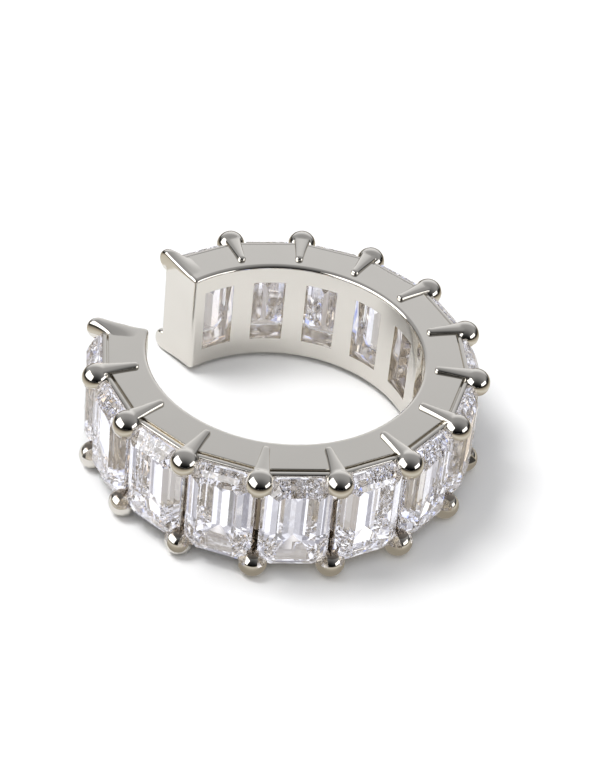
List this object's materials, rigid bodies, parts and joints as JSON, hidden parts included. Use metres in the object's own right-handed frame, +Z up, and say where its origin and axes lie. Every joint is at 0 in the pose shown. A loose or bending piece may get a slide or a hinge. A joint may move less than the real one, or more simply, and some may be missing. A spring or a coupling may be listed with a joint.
{
  "type": "ear cuff",
  "caption": "Open ring ear cuff with a row of emerald-cut clear stones held by shared round prongs, in polished white metal.",
  "frame": {"origin": "on the surface that the cuff lies on, under the middle of its box", "axes": "+Z up the ring's axis, -X towards the gap that the ear goes through, +Y across the ring; the cuff is mirrored about Y = 0 and about its mid-height"},
  "size_m": [0.0142, 0.0148, 0.0047],
  "materials": {
    "white_metal": "polished",
    "clear_stone": "faceted, polished"
  },
  "bodies": {
    "root": {"cuff_setting": "white_metal", "stone_01": "clear_stone", "stone_02": "clear_stone", "stone_03": "clear_stone", "stone_04": "clear_stone", "stone_05": "clear_stone", "stone_06": "clear_stone", "stone_07": "clear_stone", "stone_08": "clear_stone", "stone_09": "clear_stone", "stone_10": "clear_stone", "stone_11": "clear_stone", "stone_12": "clear_stone", "stone_13": "clear_stone", "stone_14": "clear_stone"}
  },
  "joints": []
}
